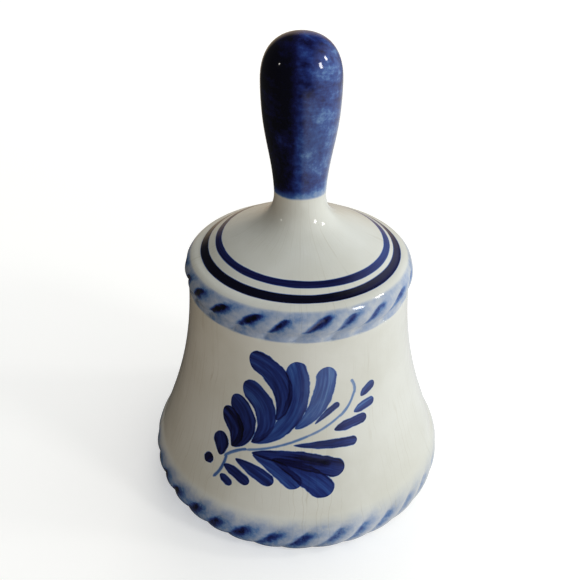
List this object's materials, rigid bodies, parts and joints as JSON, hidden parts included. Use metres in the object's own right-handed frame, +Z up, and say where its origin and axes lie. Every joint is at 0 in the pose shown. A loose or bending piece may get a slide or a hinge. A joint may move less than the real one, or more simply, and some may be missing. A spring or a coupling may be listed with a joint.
{
  "type": "hand bell",
  "caption": "Glazed porcelain hand bell with a flared skirt, moulded rope borders, a club grip and a ball clapper that hangs inside by a wire.",
  "frame": {"origin": "centre of the rim, on the plane that the bell stands on", "axes": "+Z up along the bell's axis, -Y towards the painted front"},
  "size_m": [0.0852, 0.0852, 0.13],
  "materials": {
    "white_glaze": "gloss glaze over a cream-white body, painted under the glaze in cobalt blue",
    "blue_glaze": "gloss glaze over a brushed cobalt-blue wash",
    "ball_glaze": "gloss glaze",
    "steel": "bright drawn wire",
    "brass": "dull drawn wire"
  },
  "bodies": {
    "bell": {"bell_body": "white_glaze", "handle": "blue_glaze"},
    "toggle": {"toggle_bar": "steel"},
    "clapper": {"clapper_wire": "brass", "retaining_washer": "steel"},
    "ball": {"clapper_ball": "ball_glaze"}
  },
  "joints": [
    {"name": "toggle_turn", "type": "hinge", "parent": "bell", "child": "toggle", "pos_m": [0, 0, 0.0796], "axis": [0, 0, 1], "continuous": true},
    {"name": "clapper_swing", "type": "hinge", "parent": "toggle", "child": "clapper", "pos_m": [0, 0, 0.07959], "axis": [1, 0, 0], "range_deg": [-25, 25]},
    {"name": "ball_spin", "type": "hinge", "parent": "clapper", "child": "ball", "pos_m": [0, 0, 0.02], "axis": [0, 0, 1], "continuous": true}
  ]
}
